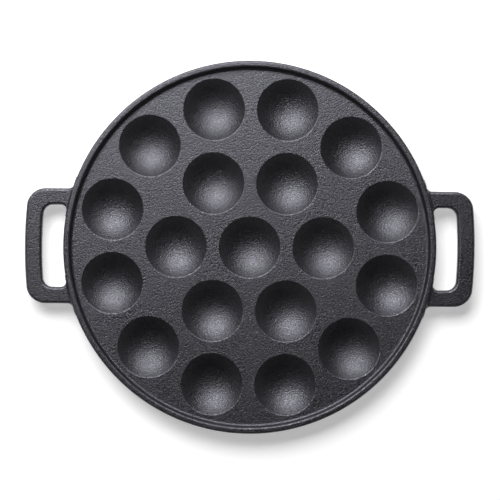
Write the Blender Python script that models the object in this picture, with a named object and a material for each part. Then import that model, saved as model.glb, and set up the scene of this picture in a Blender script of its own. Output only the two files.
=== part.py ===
# A cast-iron poffertjes pan: a round plate with nineteen small cups, a raised rim with a skirt below it,
# and a loop handle at each side. The real pan leaves the mould as one iron casting. Here its plate, rim
# and handles are four solids with a hairline seam between them, so that each can be named and shaped.
#
# Metres, +Z up. The origin is on the table under the middle of the pan, and the handles lie along X.

import math

import bmesh
import bpy
from mathutils import Matrix, Vector

# Cups: one in the middle, six round it and twelve outside, with a web of plate between neighbours
CUP_RADIUS = 0.0220
CUP_WEB = 0.0074
CUP_DEPTH = 0.0090
CUP_EDGE_ROUND = 0.0014
CUP_WALL = 0.0040
INNER_CUPS = 6
OUTER_CUPS = 12

# The undersides of the cups, which end in small ground flats that stand on the hob
PAD_GRIND = 0.0005
BUMP_FILLET = 0.0015

# Plate, and the wall with its lip that stands round it
PLATE_THICKNESS = 0.0045
CUP_TO_WALL = 0.0019
WALL_HEIGHT = 0.0045
WALL_DRAFT = math.radians(8)
WALL_FILLET = 0.0016
LIP_WIDTH = 0.0045
LIP_ROUND = 0.0015

# Skirt below the wall
SKIRT_DRAFT = math.radians(4)
FOOT_WIDTH = 0.0045
FOOT_ROUND = 0.0010

# Handles
HANDLE_REACH = 0.0270
HANDLE_WIDTH = 0.0804
HANDLE_GRIP = 0.0118
HANDLE_ARM = 0.0115
HANDLE_BOW_RADIUS = 0.3230
HANDLE_THICKNESS = 0.0070
HANDLE_DROP = 0.0018
HANDLE_EDGE_ROUND = 0.0020
HANDLE_CORNER = 0.0117
HOLE_CORNER = 0.0062
ROOT_FILLET = 0.0040

# The seam between two of the four solids
SEAM = 0.0003

# Facets
RIM_FACETS = 72
CUP_FACETS = 24
BUMP_FACETS = 20
CUP_RINGS = 5
BUMP_RINGS = 2
EDGE_STEPS = 2
ARC_ERROR = 0.00015
MERGE = 0.00001
SHARP_ANGLE = math.radians(40)

# Levels that follow from the sizes
PLATE_TOP = CUP_DEPTH + CUP_WALL - PAD_GRIND
PLATE_UNDER = PLATE_TOP - PLATE_THICKNESS
LIP_TOP = PLATE_TOP + WALL_HEIGHT
HANDLE_TOP = LIP_TOP - HANDLE_DROP

# The ball that shapes a cup, whose edge is rounded into the plate, and the ball of its underside,
# which is filleted into the plate from below
CUP_BALL = (CUP_RADIUS**2 + CUP_DEPTH**2) / (2 * CUP_DEPTH) - CUP_EDGE_ROUND
BALL_CENTRE = PLATE_TOP - CUP_DEPTH + CUP_BALL
BUMP_BALL = CUP_BALL + CUP_WALL
FILLET_CENTRE = PLATE_UNDER - BUMP_FILLET
BUMP_SLOPE = math.acos((BALL_CENTRE - FILLET_CENTRE) / (BUMP_BALL + BUMP_FILLET))
BUMP_RADIUS = (BUMP_BALL + BUMP_FILLET) * math.sin(BUMP_SLOPE)

# Radii from the middle outwards. The wall stands clear of the cups above and of the bumps below.
CUP_PITCH = 2 * CUP_RADIUS + CUP_WEB
OUTER_RING = CUP_PITCH / (2 * math.sin(math.pi / OUTER_CUPS))
PLATE_RADIUS = OUTER_RING + max(CUP_RADIUS + CUP_TO_WALL, BUMP_RADIUS + SEAM)
WALL_FOOT = PLATE_RADIUS + SEAM + WALL_FILLET * math.tan((math.pi / 2 - WALL_DRAFT) / 2)
LIP_INNER = WALL_FOOT + WALL_HEIGHT * math.tan(WALL_DRAFT)
RIM_RADIUS = LIP_INNER + LIP_WIDTH


def clear_scene():
    for thing in list(bpy.data.objects):
        bpy.data.objects.remove(thing, do_unlink=True)


def seasoned_iron():
    """Seasoned cast iron: nearly black, with the dull sheen of baked oil."""
    material = bpy.data.materials.new("seasoned_cast_iron")
    material.use_nodes = True
    shader = material.node_tree.nodes["Principled BSDF"]
    shader.inputs["Base Color"].default_value = (0.045, 0.045, 0.050, 1)
    shader.inputs["Roughness"].default_value = 0.55
    shader.inputs["Metallic"].default_value = 0.0
    return material


def rounded(corners):
    """An outline through corners of (x, y, radius), each rounded by an arc of its radius."""
    outline = []
    for index, (x, y, radius) in enumerate(corners):
        corner = Vector((x, y))
        if radius == 0:
            outline.append(corner)
            continue
        to_last = (Vector(corners[index - 1][:2]) - corner).normalized()
        to_next = (Vector(corners[(index + 1) % len(corners)][:2]) - corner).normalized()
        half = to_last.angle(to_next) / 2
        centre = corner + (to_last + to_next).normalized() * radius / math.sin(half)
        spoke = corner + to_last * radius / math.tan(half) - centre
        turn = math.copysign(math.pi - 2 * half, to_next.cross(to_last))
        steps = max(EDGE_STEPS, math.ceil(abs(turn) / (2 * math.acos(1 - ARC_ERROR / radius))))
        for step in range(steps + 1):
            outline.append(centre + Matrix.Rotation(turn * step / steps, 2) @ spoke)
    return outline


def arc(centre, radius, start, end, steps):
    """Points on a circle in the (radius, height) plane, by angle from straight down."""
    angles = [start + (end - start) * step / steps for step in range(steps + 1)]
    return [(centre[0] + radius * math.sin(a), centre[1] - radius * math.cos(a)) for a in angles]


def turned(profile, facets, closed=False):
    """A mesh made by turning a profile of (radius, height) points round Z."""
    mesh = bmesh.new()
    points = [mesh.verts.new((radius, 0, height)) for radius, height in profile]
    lines = [mesh.edges.new(pair) for pair in zip(points, points[1:])]
    if closed:
        lines.append(mesh.edges.new((points[-1], points[0])))
    bmesh.ops.spin(mesh, geom=points + lines, axis=(0, 0, 1), angle=2 * math.pi, steps=facets)
    bmesh.ops.remove_doubles(mesh, verts=mesh.verts, dist=MERGE)
    bmesh.ops.recalc_face_normals(mesh, faces=mesh.faces)
    return mesh


def prism(outline, low, high):
    """A mesh that has this outline in plan, from one height up to another, with flat ends."""
    mesh = bmesh.new()
    floor = mesh.faces.new([mesh.verts.new((x, y, low)) for x, y in outline])
    for item in bmesh.ops.extrude_face_region(mesh, geom=[floor])["geom"]:
        if isinstance(item, bmesh.types.BMVert):
            item.co.z = high
    bmesh.ops.recalc_face_normals(mesh, faces=mesh.faces)
    return mesh


def at_every_cup(mesh):
    """The mesh copied to all nineteen cups, as one mesh of separate bodies."""
    shape = bpy.data.meshes.new("one_cup")
    mesh.to_mesh(shape)
    mesh.free()
    copies = bmesh.new()
    for place in cup_centres():
        first = len(copies.verts)
        copies.from_mesh(shape)
        copies.verts.ensure_lookup_table()
        bmesh.ops.translate(copies, verts=copies.verts[first:], vec=place)
    bpy.data.meshes.remove(shape)
    return copies


def cup_centres():
    """The middle cup, the ring of six, and the ring of twelve, turned half a step against the six."""
    centres = [Vector((0, 0, 0))]
    for count, radius, first in ((INNER_CUPS, CUP_PITCH, 0), (OUTER_CUPS, OUTER_RING, 0.5)):
        for number in range(count):
            angle = 2 * math.pi * (number + first) / count
            centres.append(Vector((radius * math.cos(angle), radius * math.sin(angle), 0)))
    return centres


def object_of(name, mesh):
    """A new object that holds the mesh, with its faces shaded smooth up to a sharp edge."""
    data = bpy.data.meshes.new(name)
    mesh.to_mesh(data)
    mesh.free()
    data.shade_smooth()
    data.set_sharp_from_angle(angle=SHARP_ANGLE)
    made = bpy.data.objects.new(name, data)
    bpy.context.scene.collection.objects.link(made)
    return made


def cutter_of(name, mesh):
    cutter = object_of(name, mesh)
    cutter.hide_render = True
    cutter.display_type = "WIRE"
    return cutter


def combine(piece, operation, other):
    modifier = piece.modifiers.new(other.name, "BOOLEAN")
    modifier.operation = operation
    modifier.object = other
    modifier.solver = "EXACT"


def cup_hollow():
    """What a cup takes out of the plate: the cap of a ball, opened out by the rounded edge."""
    edge_centre = (CUP_RADIUS, PLATE_TOP - CUP_EDGE_ROUND)
    slope = math.acos((BALL_CENTRE - edge_centre[1]) / (CUP_BALL + CUP_EDGE_ROUND))
    bowl = arc((0, BALL_CENTRE), CUP_BALL, 0, slope, CUP_RINGS)
    edge = arc(edge_centre, CUP_EDGE_ROUND, slope - math.pi, -math.pi, EDGE_STEPS)[1:-1]
    opening = [(CUP_RADIUS, PLATE_TOP), (CUP_RADIUS, LIP_TOP), (0, LIP_TOP)]
    return turned([*bowl, *edge, *opening], CUP_FACETS)


def cup_bump():
    """A cup's underside: the cap of a larger ball, filleted to the plate, with its end ground flat."""
    pad = math.acos(BALL_CENTRE / BUMP_BALL)
    ball = arc((0, BALL_CENTRE), BUMP_BALL, pad, BUMP_SLOPE, BUMP_RINGS)
    fillet = arc((BUMP_RADIUS, FILLET_CENTRE), BUMP_FILLET, BUMP_SLOPE - math.pi, -math.pi, EDGE_STEPS)[1:-1]
    inside_plate = PLATE_TOP - PLATE_THICKNESS / 2
    root = [(BUMP_RADIUS, PLATE_UNDER), (BUMP_RADIUS, inside_plate), (0, inside_plate)]
    return turned([(0, 0), *ball, *fillet, *root], BUMP_FACETS)


def make_cup_plate():
    """A flat disc with a bump added under each cup, then hollowed from above."""
    turns = [2 * math.pi * facet / RIM_FACETS for facet in range(RIM_FACETS)]
    disc = [(PLATE_RADIUS * math.cos(turn), PLATE_RADIUS * math.sin(turn)) for turn in turns]
    plate = object_of("cup_plate", prism(disc, PLATE_UNDER, PLATE_TOP))
    combine(plate, "UNION", cutter_of("bumps_under_cups", at_every_cup(cup_bump())))
    combine(plate, "DIFFERENCE", cutter_of("hollows_of_cups", at_every_cup(cup_hollow())))
    return plate


def make_rim():
    """The wall with its flat lip, drafted both ways, and the skirt below it with a flat foot."""
    inside = PLATE_RADIUS + SEAM
    foot_outer = RIM_RADIUS - LIP_TOP * math.tan(SKIRT_DRAFT)
    profile = rounded(
        [
            (inside, PLATE_TOP, 0),
            (inside, PLATE_UNDER, 0),
            (foot_outer - FOOT_WIDTH, 0, FOOT_ROUND),
            (foot_outer, 0, FOOT_ROUND),
            (RIM_RADIUS, LIP_TOP, LIP_ROUND),
            (LIP_INNER, LIP_TOP, LIP_ROUND),
            (WALL_FOOT, PLATE_TOP, WALL_FILLET),
        ]
    )
    return object_of("rim", turned(profile, RIM_FACETS, closed=True))


def on_wall(y):
    """The point of the plan at that y on the drafted outer wall, level with the handles' underside."""
    radius = RIM_RADIUS - (HANDLE_DROP + HANDLE_THICKNESS) * math.tan(SKIRT_DRAFT)
    return (math.sqrt(radius**2 - y**2), y)


def bowed_side(radius, half_width, corner):
    """The middle and upper corners of a side that bows outwards, as the points its tangents meet at."""
    centre = RIM_RADIUS + HANDLE_REACH - HANDLE_BOW_RADIUS
    bow = math.asin((half_width - corner) / radius)
    middle = centre + radius / math.cos(bow)
    return [(middle, 0, radius), (middle - half_width * math.tan(bow), half_width, corner)]


def handle_outline():
    """The right-hand loop in plan: a C with a bowed grip, whose ends are sunk into the wall."""
    outer = HANDLE_WIDTH / 2
    inner = outer - HANDLE_ARM
    sunk = RIM_RADIUS - 2 * HANDLE_GRIP
    upper_half = [
        *bowed_side(HANDLE_BOW_RADIUS - HANDLE_GRIP, inner, HOLE_CORNER),
        (*on_wall(inner), ROOT_FILLET),
        (*on_wall(inner - 2 * ROOT_FILLET), 0),
        (sunk, inner - 2 * ROOT_FILLET, 0),
        (sunk, outer + 2 * ROOT_FILLET, 0),
        (*on_wall(outer + 2 * ROOT_FILLET), 0),
        (*on_wall(outer), ROOT_FILLET),
        *reversed(bowed_side(HANDLE_BOW_RADIUS, outer, HANDLE_CORNER)),
    ]
    lower_half = [(x, -y, radius) for x, y, radius in reversed(upper_half[1:-1])]
    return rounded(upper_half + lower_half)


def make_handles():
    """The two loops, one turned half a turn from the other, each seated against the drafted wall."""
    mesh = prism(handle_outline(), HANDLE_TOP - HANDLE_THICKNESS, HANDLE_TOP)
    flat = [edge for edge in mesh.edges if abs(edge.verts[0].co.z - edge.verts[1].co.z) < MERGE]
    bmesh.ops.bevel(
        mesh,
        geom=flat,
        offset=HANDLE_EDGE_ROUND,
        segments=EDGE_STEPS,
        profile=0.5,
        affect="EDGES",
        clamp_overlap=False,
    )
    right = object_of("right_handle", mesh)
    left = bpy.data.objects.new("left_handle", right.data)
    left.rotation_euler.z = math.pi
    bpy.context.scene.collection.objects.link(left)

    seat = RIM_RADIUS + SEAM
    slope = math.tan(SKIRT_DRAFT)
    wall = [(0, 0), (seat - LIP_TOP * slope, 0), (seat, LIP_TOP), (0, LIP_TOP)]
    cutter = cutter_of("wall_at_handles", turned(wall, RIM_FACETS))
    for handle in (right, left):
        combine(handle, "DIFFERENCE", cutter)
    return [right, left]


clear_scene()
iron = seasoned_iron()
for piece in (make_cup_plate(), make_rim(), *make_handles()):
    if not piece.data.materials:
        piece.data.materials.append(iron)
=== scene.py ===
# %% [markdown]
# # A cast-iron poffertjes pan
#
# Poffertjes are small, puffed Dutch pancakes. Their pan is a round plate of sand-cast iron with nineteen
# cups, a low wall with a flat lip round it, and a loop handle at each side. The real pan is one casting.
# Here each of its four named regions is a piece of its own, in the place of the solid that the packed
# model has for it, and the pieces meet without a gap, so that the pan looks like the single casting it is.

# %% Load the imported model
import math

import bmesh
import bpy
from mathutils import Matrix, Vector


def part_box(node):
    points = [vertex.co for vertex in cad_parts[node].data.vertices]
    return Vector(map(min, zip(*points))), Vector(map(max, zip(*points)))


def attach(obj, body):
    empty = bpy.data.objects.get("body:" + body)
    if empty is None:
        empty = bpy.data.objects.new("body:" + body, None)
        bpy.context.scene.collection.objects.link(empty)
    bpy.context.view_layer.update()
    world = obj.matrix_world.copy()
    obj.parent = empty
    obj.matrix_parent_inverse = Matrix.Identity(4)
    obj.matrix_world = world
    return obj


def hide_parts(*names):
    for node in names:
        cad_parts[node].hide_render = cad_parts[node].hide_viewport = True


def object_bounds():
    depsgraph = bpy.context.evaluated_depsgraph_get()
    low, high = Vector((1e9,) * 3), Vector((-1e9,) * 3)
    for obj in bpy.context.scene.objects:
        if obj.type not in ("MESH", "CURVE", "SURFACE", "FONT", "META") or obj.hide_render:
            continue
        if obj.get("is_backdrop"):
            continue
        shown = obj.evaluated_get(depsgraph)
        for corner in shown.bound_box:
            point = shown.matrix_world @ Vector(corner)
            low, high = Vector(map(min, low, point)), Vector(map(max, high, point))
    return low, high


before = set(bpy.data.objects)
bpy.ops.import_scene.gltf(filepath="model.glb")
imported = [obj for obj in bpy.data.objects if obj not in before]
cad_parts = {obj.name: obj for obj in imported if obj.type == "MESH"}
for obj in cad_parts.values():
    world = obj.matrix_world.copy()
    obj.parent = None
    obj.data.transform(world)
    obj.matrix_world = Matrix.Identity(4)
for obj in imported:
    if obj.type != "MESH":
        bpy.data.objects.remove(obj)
cad_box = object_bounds()
print("nodes:", *sorted(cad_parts))

# %% [markdown]
# ## Sizes
#
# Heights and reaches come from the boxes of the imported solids, so a piece can't drift away from the solid
# that it stands for. The smaller sizes, such as the roundings that a sand mould needs at every edge, are
# named here in metres. A founder calls the slight slope that lets the pattern leave the sand the draft.

# %% Measure the solids and name the other sizes
plate_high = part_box("cup_plate")[1]
rim_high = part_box("rim")[1]
handle_low, handle_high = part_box("right_handle")

SQUARE = math.pi / 2

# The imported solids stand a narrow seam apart, and the pieces meet in its middle.
HALF_SEAM = 0.00015

PLATE_TOP = plate_high.z
PLATE_THICKNESS = 0.0045
PLATE_UNDER = PLATE_TOP - PLATE_THICKNESS
LIP_TOP = rim_high.z

CUP_RADIUS = 0.0220
CUP_DEPTH = 0.0090
CUP_WALL = 0.0040
CUP_EDGE_ROUND = 0.0014
CUP_PITCH = 0.0514
BUMP_FILLET = 0.0015

WALL_DRAFT = math.radians(8)
SKIRT_DRAFT = math.radians(4)
LIP_WIDTH = 0.0045
LIP_ROUND = 0.0015
WALL_FILLET = 0.0016
FOOT_WIDTH = 0.0045
FOOT_ROUND = 0.0010

# The box ends where the lip's rounding meets the skirt, so the sharp corner drawn first is a little wider.
lip_cut = LIP_ROUND * math.tan((SQUARE + SKIRT_DRAFT) / 2)
RIM_RADIUS = rim_high.y + lip_cut * math.sin(SKIRT_DRAFT)
LIP_INNER = RIM_RADIUS - LIP_WIDTH
WALL_FOOT = LIP_INNER - (LIP_TOP - PLATE_TOP) * math.tan(WALL_DRAFT)
JOINT_RADIUS = plate_high.y + HALF_SEAM
FOOT_OUTER = RIM_RADIUS - LIP_TOP * math.tan(SKIRT_DRAFT)
FOOT_INNER = FOOT_OUTER - FOOT_WIDTH

print(f"plate top {PLATE_TOP * 1000:.2f} mm, lip top {LIP_TOP * 1000:.2f} mm, rim {RIM_RADIUS * 2000:.1f} mm")

# %% [markdown]
# ## The camera
#
# The photograph looks almost straight down on the pan. The distance can't be seen in it, so about a metre is
# taken, with a long lens, which makes the far and near sides equally large. The camera could be fitted by
# eye. Measuring is quicker: the lip's circle gives the width that the picture takes in, and the line through
# the middle cups gives the slight roll.

# %% Place the camera
VIEW_WIDTH = 0.3475
CAMERA_DISTANCE = 1.03
CAMERA_TILT = math.radians(1.0)
CAMERA_ROLL = math.radians(0.54)
SENSOR_MM = 36
aim = Vector((0, -0.0016, LIP_TOP))

away = Vector((0, math.sin(CAMERA_TILT), math.cos(CAMERA_TILT)))
bpy.ops.object.camera_add(location=aim + away * CAMERA_DISTANCE, rotation=(-CAMERA_TILT, 0, CAMERA_ROLL))
camera = bpy.context.object
camera.name = "photo_camera"
camera.data.sensor_width = SENSOR_MM
camera.data.lens = SENSOR_MM * CAMERA_DISTANCE / VIEW_WIDTH
bpy.context.scene.camera = camera
print(f"lens {camera.data.lens:.0f} mm at {CAMERA_DISTANCE} m")

# %% [markdown]
# ## Helpers for modelling
#
# A modelling operator acts on all that is selected. So each step first selects what it should act on, by
# its place, the way a hand would click it. These helpers do that clicking.

# %% Helpers to select and to shape
TINY = 0.00002
SHARP = math.radians(35)


def only(piece):
    """Leaves nothing but this piece selected, and makes it the active one."""
    if bpy.context.mode != "OBJECT":
        bpy.ops.object.mode_set(mode="OBJECT")
    bpy.ops.object.select_all(action="DESELECT")
    piece.select_set(True)
    bpy.context.view_layer.objects.active = piece


def start_from(add_primitive, name, **sizes):
    """Adds a primitive with nothing else selected, names it, and opens it in edit mode."""
    if bpy.context.mode != "OBJECT":
        bpy.ops.object.mode_set(mode="OBJECT")
    bpy.ops.object.select_all(action="DESELECT")
    add_primitive(**sizes)
    piece = bpy.context.object
    piece.name = name
    piece.data.name = name
    bpy.ops.object.transform_apply(location=True, rotation=True, scale=True)
    bpy.ops.object.mode_set(mode="EDIT")
    bpy.ops.mesh.select_mode(type="VERT")
    return piece


def pick(piece, kind, wanted):
    """Selects the verts, edges or faces for which wanted(middle) is true, and returns how many there are."""
    bpy.ops.mesh.select_mode(type={"verts": "VERT", "edges": "EDGE", "faces": "FACE"}[kind])
    bpy.ops.mesh.select_all(action="DESELECT")
    mesh = bmesh.from_edit_mesh(piece.data)
    count = 0
    for item in getattr(mesh, kind):
        corners = [item] if kind == "verts" else item.verts
        if wanted(item, [corner.co for corner in corners]):
            item.select_set(True)
            count += 1
    mesh.select_flush_mode()
    bmesh.update_edit_mesh(piece.data)
    return count


def ring_at(radius, height):
    """A test for the edges of a ring round Z at this radius and height."""
    return lambda edge, corners: all(
        abs(math.hypot(corner.x, corner.y) - radius) < TINY and abs(corner.z - height) < TINY
        for corner in corners
    )


def grow_ring(old_radius, new_radius, rise):
    """Extrudes the selected ring, lifts it, and scales it to its new radius."""
    bpy.ops.mesh.extrude_region_move(TRANSFORM_OT_translate={"value": (0, 0, rise)})
    ratio = new_radius / old_radius
    bpy.ops.transform.resize(value=(ratio, ratio, 1), center_override=(0, 0, 0))


def draw_rings(profile):
    """Draws a turned form by extruding a ring from one (radius, height) point of its profile to the next."""
    for (radius, height), (next_radius, next_height) in zip(profile, profile[1:]):
        grow_ring(radius, next_radius, next_height - height)


def round_edges(radius, turn, steps):
    """Bevels the selected edges to an arc of this radius, where the surface turns by this angle."""
    bpy.ops.mesh.bevel(
        offset=radius * math.tan(turn / 2),
        segments=steps,
        profile=0.5,
        affect="EDGES",
        clamp_overlap=False,
    )


def smooth(piece, sharp_angle):
    """Shades the piece smooth up to its sharp edges, with normals that keep its flat faces flat."""
    only(piece)
    bpy.ops.object.shade_smooth_by_angle(angle=sharp_angle)
    bpy.ops.object.modifier_add(type="WEIGHTED_NORMAL")
    flats = piece.modifiers[-1]
    flats.mode = "FACE_AREA"
    flats.keep_sharp = True
    bpy.ops.object.modifier_apply(modifier=flats.name)


def report(piece):
    """Prints how many triangles a piece has and whether its surface is closed."""
    mesh = bmesh.new()
    mesh.from_mesh(piece.data)
    open_edges = sum(not edge.is_manifold for edge in mesh.edges)
    triangles = sum(len(face.verts) - 2 for face in mesh.faces)
    print(f"{piece.name}: {triangles} triangles, {open_edges} open edges, {mesh.calc_volume() * 1e6:.1f} cm3")
    mesh.free()


# %% [markdown]
# ## The rim
#
# The wall, its flat lip and the skirt below it are one ring. It could be turned from a profile with Spin.
# Here a circle is extruded ring by ring, because each ring is then at hand to be rounded with Bevel. The
# wall and the skirt lean by their draft, and every edge is rounded, for sand can't hold a sharp one.

# %% Draw the rim ring by ring
RING_STEPS = 360
ROUND_STEPS = 6
JOINT_LEDGE = TINY * 5

rim = start_from(
    bpy.ops.mesh.primitive_circle_add,
    "casting_rim",
    vertices=RING_STEPS,
    radius=JOINT_RADIUS,
    location=(0, 0, PLATE_TOP),
)
rim_profile = [
    (JOINT_RADIUS, PLATE_TOP),
    (WALL_FOOT, PLATE_TOP),
    (LIP_INNER, LIP_TOP),
    (RIM_RADIUS, LIP_TOP),
    (FOOT_OUTER, 0),
    (FOOT_INNER, 0),
    (JOINT_RADIUS + JOINT_LEDGE, PLATE_UNDER),
    (JOINT_RADIUS, PLATE_UNDER),
]
bpy.ops.mesh.select_all(action="SELECT")
draw_rings(rim_profile)
pick(rim, "edges", lambda edge, corners: edge.is_boundary)
bpy.ops.mesh.bridge_edge_loops()
bpy.ops.mesh.select_all(action="SELECT")
bpy.ops.mesh.normals_make_consistent(inside=False)

# %% Round the rim's edges
wall_slope = SQUARE - WALL_DRAFT
for radius, height, rounding, turn in (
    (WALL_FOOT, PLATE_TOP, WALL_FILLET, wall_slope),
    (LIP_INNER, LIP_TOP, LIP_ROUND, wall_slope),
    (RIM_RADIUS, LIP_TOP, LIP_ROUND, SQUARE + SKIRT_DRAFT),
    (FOOT_OUTER, 0, FOOT_ROUND, SQUARE - SKIRT_DRAFT),
    (FOOT_INNER, 0, FOOT_ROUND, SQUARE),
):
    found = pick(rim, "edges", ring_at(radius, height))
    print(f"ring at {radius * 1000:.1f} mm: {found} edges")
    round_edges(rounding, turn, ROUND_STEPS)
smooth(rim, SHARP)
report(rim)

# %% [markdown]
# ## One cup and one bump
#
# A cup is part of a ball, opened out where its edge is rounded into the plate. Below the plate the same
# cup shows as a bump, part of a larger ball, with its end ground flat so that the pan stands firm. Each is
# modelled once, as a body to cut away or to add, and then copied to its nineteen places.

# %% Where the balls touch their roundings
CUP_BALL = (CUP_RADIUS**2 + CUP_DEPTH**2) / (2 * CUP_DEPTH) - CUP_EDGE_ROUND
BALL_CENTRE = PLATE_TOP - CUP_DEPTH + CUP_BALL
BUMP_BALL = CUP_BALL + CUP_WALL


def arc(centre, radius, start, end, steps):
    """Points on an arc of (radius, height), by angle from straight down, with its first point left out."""
    angles = [start + (end - start) * step / steps for step in range(1, steps + 1)]
    return [(centre[0] + radius * math.sin(a), centre[1] - radius * math.cos(a)) for a in angles]


# %% Model the body that a cup takes away
CUP_STEPS = 96
BALL_RINGS = 72
ABOVE_LIP = 0.002

edge_centre = (CUP_RADIUS, PLATE_TOP - CUP_EDGE_ROUND)
cup_slope = math.acos((BALL_CENTRE - edge_centre[1]) / (CUP_BALL + CUP_EDGE_ROUND))
cup_touch = (CUP_BALL * math.sin(cup_slope), BALL_CENTRE - CUP_BALL * math.cos(cup_slope))

hollow = start_from(
    bpy.ops.mesh.primitive_uv_sphere_add,
    "one_cup_hollow",
    segments=CUP_STEPS,
    ring_count=BALL_RINGS,
    radius=CUP_BALL,
    location=(0, 0, BALL_CENTRE),
)
bpy.ops.mesh.select_all(action="SELECT")
bpy.ops.mesh.bisect(plane_co=(0, 0, cup_touch[1]), plane_no=(0, 0, 1), clear_outer=True)
pick(hollow, "edges", lambda edge, corners: edge.is_boundary)
edge_arc = arc(edge_centre, CUP_EDGE_ROUND, cup_slope - math.pi, -math.pi, ROUND_STEPS)
draw_rings([cup_touch, *edge_arc, (CUP_RADIUS, LIP_TOP + ABOVE_LIP)])
bpy.ops.mesh.edge_face_add()
bpy.ops.mesh.select_all(action="SELECT")
bpy.ops.mesh.normals_make_consistent(inside=False)

# %% Model the body that a bump adds
BUMP_STEPS = 64
BUMP_RINGS = 48

fillet_height = PLATE_UNDER - BUMP_FILLET
bump_slope = math.acos((BALL_CENTRE - fillet_height) / (BUMP_BALL + BUMP_FILLET))
bump_touch = (BUMP_BALL * math.sin(bump_slope), BALL_CENTRE - BUMP_BALL * math.cos(bump_slope))
bump_radius = (BUMP_BALL + BUMP_FILLET) * math.sin(bump_slope)

bump = start_from(
    bpy.ops.mesh.primitive_uv_sphere_add,
    "one_cup_bump",
    segments=BUMP_STEPS,
    ring_count=BUMP_RINGS,
    radius=BUMP_BALL,
    location=(0, 0, BALL_CENTRE),
)
bpy.ops.mesh.select_all(action="SELECT")
bpy.ops.mesh.bisect(plane_co=(0, 0, bump_touch[1]), plane_no=(0, 0, 1), clear_outer=True)
bpy.ops.mesh.select_all(action="SELECT")
bpy.ops.mesh.bisect(plane_co=(0, 0, 0), plane_no=(0, 0, -1), clear_outer=True, use_fill=True)
pick(bump, "edges", lambda edge, corners: edge.is_boundary)
fillet = arc((bump_radius, fillet_height), BUMP_FILLET, bump_slope - math.pi, -math.pi, ROUND_STEPS)
draw_rings([bump_touch, *fillet, (bump_radius, PLATE_TOP - PLATE_THICKNESS / 2)])
bpy.ops.mesh.edge_face_add()
bpy.ops.mesh.select_all(action="SELECT")
bpy.ops.mesh.normals_make_consistent(inside=False)
print(f"cup {2000 * CUP_RADIUS:.1f} mm wide, bump {2000 * bump_radius:.1f} mm wide")

# %% [markdown]
# ## The cup plate
#
# The plate starts as a disc. The cups stand in two rings round a middle one: six at one pitch, and twelve
# turned half a step, on the ring where they too stand one pitch apart. First the bumps are added with a
# Boolean, then the hollows are cut. In the other order the bumps would fill the cups again.

# %% Copy the bodies to every cup
cup_places = [(0.0, 0.0)]
for count, ring_radius, first in ((6, CUP_PITCH, 0), (12, CUP_PITCH / (2 * math.sin(math.pi / 12)), 0.5)):
    for number in range(count):
        angle = 2 * math.pi * (number + first) / count
        cup_places.append((ring_radius * math.cos(angle), ring_radius * math.sin(angle)))


def at_every_cup(body, name):
    """Copies a body to the nineteen cups and joins the copies to one piece."""
    copies = []
    for x, y in cup_places:
        only(body)
        bpy.ops.object.duplicate()
        bpy.ops.transform.translate(value=(x, y, 0))
        copies.append(bpy.context.object)
    for copy in copies:
        copy.select_set(True)
    bpy.ops.object.join()
    joined = bpy.context.object
    joined.name = name
    bpy.ops.object.transform_apply(location=True, rotation=True, scale=True)
    bpy.data.objects.remove(body)
    return joined


def combine(piece, operation, other):
    """Adds the other piece to this one, or cuts it away, and throws the other piece away."""
    only(piece)
    bpy.ops.object.modifier_add(type="BOOLEAN")
    boolean = piece.modifiers[-1]
    boolean.operation = operation
    boolean.object = other
    boolean.solver = "EXACT"
    bpy.ops.object.modifier_apply(modifier=boolean.name)
    bpy.data.objects.remove(other)


bumps = at_every_cup(bump, "all_bumps")
hollows = at_every_cup(hollow, "all_hollows")
print("cups:", len(cup_places))

# %% Make the disc, add the bumps and cut the cups
plate = start_from(
    bpy.ops.mesh.primitive_cylinder_add,
    "casting_cup_plate",
    vertices=RING_STEPS,
    radius=JOINT_RADIUS,
    depth=PLATE_THICKNESS,
    location=(0, 0, PLATE_TOP - PLATE_THICKNESS / 2),
)
combine(plate, "UNION", bumps)
only(plate)
bpy.ops.object.mode_set(mode="EDIT")
pick(plate, "faces", lambda face, corners: len(corners) > 4)
bpy.ops.mesh.quads_convert_to_tris(ngon_method="BEAUTY")
combine(plate, "DIFFERENCE", hollows)
smooth(plate, SHARP)
report(plate)

# %% [markdown]
# ## The handles
#
# A handle is a loop of flat bar. Seen from above it is a C, whose arms run into the wall with rounded
# roots, and its grip bows out a little. The loop mirrors itself, so only its upper half is modelled: a
# rectangle is cut up with Bisect, what isn't iron is deleted, and its corners are rounded as vertices.
# Extrude gives the outline its thickness, and Bevel its soft edges. Near the wall the bar swells, as the
# small fillet does that the founder puts between a thin bar and a wall.

# %% Name the handle's sizes
REACH = handle_high.x
BAR_TOP = handle_high.z
BAR_UNDER = handle_low.z
HALF_WIDTH = 0.0402
GRIP_WIDTH = 0.0118
ARM_WIDTH = 0.0115
GRIP_BOW = 0.0025
OUTER_CORNER = 0.0117
HOLE_CORNER = 0.0062
ROOT_CORNER = 0.0040
BAR_ROUND = 0.0020
ROOT_SPREAD = 0.0080
SUNK = 0.0022

bar_middle = (BAR_TOP + BAR_UNDER) / 2
hole_half = HALF_WIDTH - ARM_WIDTH
corner_reach = REACH - GRIP_BOW
hole_reach = corner_reach - GRIP_WIDTH
arm_middle = HALF_WIDTH - ARM_WIDTH / 2

wall_radius = RIM_RADIUS - (LIP_TOP - BAR_TOP) * math.tan(SKIRT_DRAFT)
root = Vector((math.sqrt(wall_radius**2 - arm_middle**2), arm_middle, BAR_TOP))
outwards = Vector((root.x, root.y, 0)).normalized()


def from_wall(point):
    """How far a point stands out from the wall at the arm's root, in plan."""
    return (point.x - root.x) * outwards.x + (point.y - root.y) * outwards.y


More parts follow.
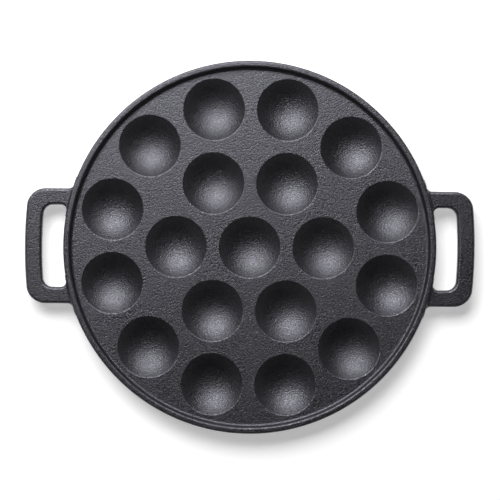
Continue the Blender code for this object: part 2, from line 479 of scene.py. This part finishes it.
# %% Cut the outline of the upper half from a rectangle
START_X = 0.1150
drawn_width = HALF_WIDTH + ROOT_SPREAD
middle = Vector(((START_X + corner_reach) / 2, drawn_width / 2, BAR_TOP))
loop = start_from(bpy.ops.mesh.primitive_plane_add, "casting_right_handle", size=1, location=middle)
bpy.ops.mesh.select_all(action="SELECT")
bpy.ops.transform.resize(value=(corner_reach - START_X, drawn_width, 1), center_override=middle)
bpy.ops.mesh.bisect(plane_co=root - outwards * SUNK, plane_no=outwards, clear_inner=True)
for point, direction in (
    (root, outwards),
    ((0, HALF_WIDTH, 0), (0, 1, 0)),
    ((0, hole_half, 0), (0, 1, 0)),
    ((0, hole_half - ROOT_SPREAD, 0), (0, 1, 0)),
    ((hole_reach, 0, 0), (1, 0, 0)),
):
    bpy.ops.mesh.select_all(action="SELECT")
    bpy.ops.mesh.bisect(plane_co=point, plane_no=direction)


def not_iron(face, corners):
    """Whether a face of the cut-up rectangle lies in the hole, or outside the loop."""
    middle = face.calc_center_median()
    if from_wall(middle) < 0:
        return middle.y < hole_half - ROOT_SPREAD
    return middle.y > HALF_WIDTH or (middle.y < hole_half and middle.x < hole_reach)


pick(loop, "faces", not_iron)
bpy.ops.mesh.delete(type="FACE")
bpy.ops.mesh.select_all(action="SELECT")
bpy.ops.mesh.dissolve_limited(angle_limit=math.radians(1))

# %% Round the corners of the outline
def at_point(x, y):
    """A test for the one vertex at this place in plan."""
    return lambda vert, corners: math.hypot(vert.co.x - x, vert.co.y - y) < TINY


def root_x(y):
    """Where the wall line crosses this y."""
    return root.x - (y - root.y) * outwards.y / outwards.x


lean = math.atan2(outwards.y, outwards.x)
for x, y, radius, inside_angle, steps in (
    (corner_reach, HALF_WIDTH, OUTER_CORNER, SQUARE, 16),
    (hole_reach, hole_half, HOLE_CORNER, SQUARE, 12),
    (root_x(HALF_WIDTH), HALF_WIDTH, ROOT_CORNER, SQUARE + lean, 8),
    (root_x(hole_half), hole_half, ROOT_CORNER, SQUARE - lean, 8),
):
    found = pick(loop, "verts", at_point(x, y))
    bpy.ops.mesh.bevel(
        offset=radius / math.tan(inside_angle / 2),
        segments=steps,
        profile=0.5,
        affect="VERTICES",
        clamp_overlap=False,
    )
    print(f"corner of {radius * 1000:.1f} mm: {found} vertex")

# %% Bow the grip
BOW_CUTS = 12
ROW_DIGITS = 6
ROW_GAP = 10**-ROW_DIGITS
for x in (corner_reach, hole_reach):
    pick(loop, "edges", lambda edge, corners: all(abs(corner.x - x) < TINY for corner in corners))
    bpy.ops.mesh.subdivide(number_cuts=BOW_CUTS)

bow_start = hole_reach - HOLE_CORNER - TINY
grip = [vert.co for vert in bmesh.from_edit_mesh(loop.data).verts if vert.co.x > bow_start]
heights = {round(place.y, ROW_DIGITS) for place in grip}
for height in sorted(heights):
    pick(loop, "verts", lambda vert, corners: vert.co.x > bow_start and abs(vert.co.y - height) < ROW_GAP)
    bpy.ops.transform.translate(value=(GRIP_BOW * (1 - (height / HALF_WIDTH) ** 2), 0, 0))
print("rows bowed:", len(heights))

# %% Give the outline its thickness and its soft edges
bpy.ops.mesh.select_all(action="SELECT")
bpy.ops.mesh.extrude_region_move(TRANSFORM_OT_translate={"value": (0, 0, BAR_UNDER - BAR_TOP)})
bpy.ops.mesh.select_all(action="SELECT")
bpy.ops.mesh.normals_make_consistent(inside=False)


def on_outline(edge, corners):
    """Whether an edge runs along the top or the bottom outline, and not across the mirror plane."""
    level = abs(corners[0].z - corners[1].z) < TINY
    return level and max(corner.y for corner in corners) > TINY


pick(loop, "edges", on_outline)
bpy.ops.mesh.bevel(offset=BAR_ROUND, segments=ROUND_STEPS, profile=0.5, affect="EDGES", clamp_overlap=False)

# %% Swell the bar where it meets the wall
ROOT_FILLET = 0.0015
SWELL_REACH = 0.0013
SWELL_STEPS = 6
leaning = Vector((*(outwards.xy * math.cos(SKIRT_DRAFT)), -math.sin(SKIRT_DRAFT)))
rows = [SWELL_REACH * (1 - step / SWELL_STEPS) for step in range(SWELL_STEPS + 1)]
for distance in rows:
    bpy.ops.mesh.select_all(action="SELECT")
    bpy.ops.mesh.bisect(plane_co=root + leaning * distance, plane_no=leaning)


def leaning_distance(point):
    """How far a point stands out from the leaning wall."""
    return (point - root).dot(leaning)


for distance in rows[1:]:
    swell = ROOT_FILLET - math.sqrt(ROOT_FILLET**2 - (SWELL_REACH - distance) ** 2)
    last = distance < TINY
    pick(
        loop,
        "verts",
        lambda vert, corners: abs(leaning_distance(vert.co) - distance) < TINY
        or (last and leaning_distance(vert.co) < distance),
    )
    factor = 1 + swell / (BAR_TOP - bar_middle)
    bpy.ops.transform.resize(value=(1, 1, factor), center_override=(0, 0, bar_middle))

# %% Mirror the half and copy the loop to the other side
pick(loop, "faces", lambda face, corners: all(abs(corner.y) < TINY for corner in corners))
bpy.ops.mesh.delete(type="FACE")
only(loop)
bpy.ops.object.modifier_add(type="MIRROR")
mirror = loop.modifiers[-1]
mirror.use_axis = (False, True, False)
mirror.merge_threshold = TINY
bpy.ops.object.modifier_apply(modifier=mirror.name)
bpy.ops.object.mode_set(mode="EDIT")
bpy.ops.mesh.select_all(action="SELECT")
bpy.ops.mesh.normals_make_consistent(inside=False)
smooth(loop, SHARP)
report(loop)

bpy.ops.object.duplicate()
left_loop = bpy.context.object
left_loop.name = "casting_left_handle"
left_loop.data.name = left_loop.name
bpy.ops.transform.rotate(value=math.pi, orient_axis="Z", center_override=(0, 0, 0))
bpy.ops.object.transform_apply(location=True, rotation=True, scale=True)
report(left_loop)

# %% [markdown]
# ## Seasoned cast iron
#
# The pan is grey cast iron, poured in sand and baked with oil until a thin dark skin covers it. That skin
# is black iron oxide soaked with hardened oil. So to the eye the pan isn't a metal, but a nearly black stone
# with a broad, slightly blue sheen. Its index, colour and gloss weren't measured on a pan. They were fitted
# to the picture together with the lamp, so another lamp would give others. The index at least lies where it
# should, between that of the oil, 1.5, and the oxide, 2.4.
#
# The sand leaves its grain all over. Real moulding sand is 0.2 to 0.4 mm, too fine to show in this picture,
# so the grain is drawn about three times as coarse, and as high. On the handles the picture shows a weaker
# grain than on the plate, so it is drawn weaker there. The rim gets the same by assumption, for its lip is
# too narrow to measure. The grain's peaks are drawn duller than its hollows, and large soft blotches vary the
# sheen too. Both are guesses at what baked oil does.

# %% Colour and node helpers
def linear(code):
    """The linear colour of an sRGB hex code."""
    parts = [int(code[at : at + 2], 16) / 255 for at in (0, 2, 4)]
    return (*(part / 12.92 if part <= 0.04045 else ((part + 0.055) / 1.055) ** 2.4 for part in parts), 1)


def add_node(tree, kind, inputs, **settings):
    """Adds a node with its settings, and gives each named input a value or a link."""
    node = tree.nodes.new(kind)
    for name, value in settings.items():
        setattr(node, name, value)
    for name, value in inputs.items():
        if isinstance(value, bpy.types.NodeSocket):
            tree.links.new(value, node.inputs[name])
        else:
            node.inputs[name].default_value = value
    return node


def add_noise(tree, place, size, detail):
    """The value of a noise whose lumps are about this size, in metres."""
    inputs = {"Vector": place, "Scale": 1 / size, "Detail": detail}
    return add_node(tree, "ShaderNodeTexNoise", inputs).outputs["Fac"]


def new_material(name):
    """A new material with an empty node tree and its output."""
    material = bpy.data.materials.new(name)
    material.use_nodes = True
    tree = material.node_tree
    tree.nodes.clear()
    return material, tree


# %% Build the sand-cast finish
LUMP = 0.0011
SAND = 0.0005
BLOTCH = 0.030
GRAIN_DEPTH = 0.0005
HANDLE_GRAIN = 0.75
SAND_SHARE = 0.4
NOISE_LOW = 0.3
NOISE_HIGH = 0.7
GLOSSIEST = 0.18
DULLEST = 0.60
OIL_CHANGE = 0.04
IRON_INDEX = 1.95
IRON_DARK = linear("141416")
IRON_LIGHT = linear("1c1c1f")
IRON_GLOSS = (0.89, 0.88, 1.0, 1)

iron, tree = new_material("seasoned_cast_iron")
place = add_node(tree, "ShaderNodeTexCoord", {}).outputs["Object"]
lumps = add_noise(tree, place, LUMP, detail=2.0)
sand = add_noise(tree, place, SAND, detail=1.0)
blotch = add_noise(tree, place, BLOTCH, detail=3.0)
grain = add_node(
    tree,
    "ShaderNodeMix",
    {"Factor": SAND_SHARE, "A": lumps, "B": sand},
    data_type="FLOAT",
).outputs["Result"]
from_middle = add_node(tree, "ShaderNodeVectorMath", {0: place}, operation="LENGTH").outputs["Value"]
crisp = add_node(
    tree,
    "ShaderNodeMapRange",
    {
        "Value": from_middle,
        "From Min": LIP_INNER,
        "From Max": RIM_RADIUS,
        "To Min": 1.0,
        "To Max": HANDLE_GRAIN,
    },
).outputs["Result"]
relief = add_node(tree, "ShaderNodeBump", {"Height": grain, "Distance": GRAIN_DEPTH, "Strength": crisp})
tone = add_node(
    tree,
    "ShaderNodeMix",
    {"Factor": grain, "A": IRON_DARK, "B": IRON_LIGHT},
    data_type="RGBA",
)
oiled = add_node(
    tree,
    "ShaderNodeMapRange",
    {
        "Value": blotch,
        "From Min": NOISE_LOW,
        "From Max": NOISE_HIGH,
        "To Min": -OIL_CHANGE,
        "To Max": OIL_CHANGE,
    },
)
pitted = add_node(
    tree,
    "ShaderNodeMapRange",
    {
        "Value": grain,
        "From Min": NOISE_LOW,
        "From Max": NOISE_HIGH,
        "To Min": GLOSSIEST,
        "To Max": DULLEST,
    },
)
sheen = add_node(
    tree,
    "ShaderNodeMath",
    {0: oiled.outputs["Result"], 1: pitted.outputs["Result"]},
    operation="ADD",
)
skin = add_node(
    tree,
    "ShaderNodeBsdfPrincipled",
    {
        "Base Color": tone.outputs["Result"],
        "Roughness": sheen.outputs["Value"],
        "Normal": relief.outputs["Normal"],
        "Metallic": 0.0,
        "IOR": IRON_INDEX,
        "Specular Tint": IRON_GLOSS,
    },
)
add_node(tree, "ShaderNodeOutputMaterial", {"Surface": skin.outputs["BSDF"]})

for piece in (rim, plate, loop, left_loop):
    piece.data.materials.append(iron)

# %% [markdown]
# ## Floor, backdrop and light
#
# The picture seems to be taken on white, with one large soft lamp behind the pan and a little to its left. A
# white floor needs so much light that dark iron would turn grey. So the floor glows a little by itself, but
# only for the camera and in reflections, and it still takes the pan's shadow. Farther out, where the lamp
# hardly reaches, it glows more, and its edge curves up to a low backdrop. That keeps the other views pale
# too, and leaves the space above the pan dark, as it seems to be in the picture's reflections.

# %% Make the floor and its backdrop
FLOOR_RADIUS = 3.0
FLOOR_STEPS = 96
BACKDROP_HEIGHT = 0.9
BACKDROP_STEPS = 12
FLOOR_WHITE = linear("f8f8f8")
GLOW_NEAR = 0.44
GLOW_FAR = 0.5
GLOW_STARTS = 0.35
GLOW_ENDS = 1.5

floor = start_from(
    bpy.ops.mesh.primitive_circle_add,
    "studio_floor",
    vertices=FLOOR_STEPS,
    radius=FLOOR_RADIUS,
    location=(0, 0, -TINY),
)
bpy.ops.mesh.select_all(action="SELECT")
draw_rings(
    [(FLOOR_RADIUS, 0)]
    + arc((FLOOR_RADIUS, BACKDROP_HEIGHT), BACKDROP_HEIGHT, 0, SQUARE, BACKDROP_STEPS)
)
pick(floor, "edges", ring_at(FLOOR_RADIUS, -TINY))
bpy.ops.mesh.edge_face_add()
only(floor)
bpy.ops.object.shade_smooth_by_angle(angle=SQUARE)
floor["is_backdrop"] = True

paper, tree = new_material("white_paper_floor")
ray = add_node(tree, "ShaderNodeLightPath", {})
seen = add_node(
    tree,
    "ShaderNodeMath",
    {0: ray.outputs["Is Camera Ray"], 1: ray.outputs["Is Glossy Ray"]},
    operation="MAXIMUM",
)
seen = add_node(
    tree,
    "ShaderNodeMath",
    {0: seen.outputs["Value"], 1: ray.outputs["Is Transmission Ray"]},
    operation="MAXIMUM",
)
spot = add_node(tree, "ShaderNodeTexCoord", {}).outputs["Object"]
away_from_pan = add_node(tree, "ShaderNodeVectorMath", {0: spot}, operation="LENGTH").outputs["Value"]
level = add_node(
    tree,
    "ShaderNodeMapRange",
    {
        "Value": away_from_pan,
        "From Min": GLOW_STARTS,
        "From Max": GLOW_ENDS,
        "To Min": GLOW_NEAR,
        "To Max": GLOW_FAR,
    },
)
glow = add_node(
    tree,
    "ShaderNodeMath",
    {0: seen.outputs["Value"], 1: level.outputs["Result"]},
    operation="MULTIPLY",
)
matt = add_node(tree, "ShaderNodeBsdfDiffuse", {"Color": FLOOR_WHITE})
shine = add_node(tree, "ShaderNodeEmission", {"Strength": glow.outputs["Value"]})
both = add_node(tree, "ShaderNodeAddShader", {0: matt.outputs["BSDF"], 1: shine.outputs["Emission"]})
add_node(tree, "ShaderNodeOutputMaterial", {"Surface": both.outputs["Shader"]})
floor.data.materials.append(paper)

# %% Hang the lamp and dim the room
LAMP_PLACE = Vector((-0.230, 0.653, 0.817))
LAMP_WIDTH = 0.97
LAMP_HEIGHT = 0.64
LAMP_WATTS = 15.6
ROOM = 0.01

only(floor)
towards = (Vector((0, 0, 0)) - LAMP_PLACE).to_track_quat("-Z", "Y").to_euler()
bpy.ops.object.light_add(type="AREA", location=LAMP_PLACE, rotation=towards)
lamp = bpy.context.object
lamp.name = "soft_box_behind"
lamp.data.shape = "RECTANGLE"
lamp.data.size = LAMP_WIDTH
lamp.data.size_y = LAMP_HEIGHT
lamp.data.energy = LAMP_WATTS

world = bpy.data.worlds.new("dim_room")
world.use_nodes = True
world.node_tree.nodes["Background"].inputs["Color"].default_value = (1, 1, 1, 1)
world.node_tree.nodes["Background"].inputs["Strength"].default_value = ROOM
bpy.context.scene.world = world
bpy.context.scene.view_settings.view_transform = "Standard"

# %% [markdown]
# ## Put the pieces in place
#
# Each piece hides the solid that it stands for and is hung on the body that it rides on. Its finish was
# given above. The pan has no moving part, so all four ride on the one body.

# %% Place the pieces on the imported model
for piece, node in (
    (plate, "cup_plate"),
    (rim, "rim"),
    (loop, "right_handle"),
    (left_loop, "left_handle"),
):
    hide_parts(node)
    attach(piece, "root")

# %% Print both boxes
seen_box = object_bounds()
for name, box in (("packed model", cad_box), ("finished pan", seen_box)):
    print(name, *(f"{(high - low) * 1000:.1f}" for low, high in zip(*box)), "mm")
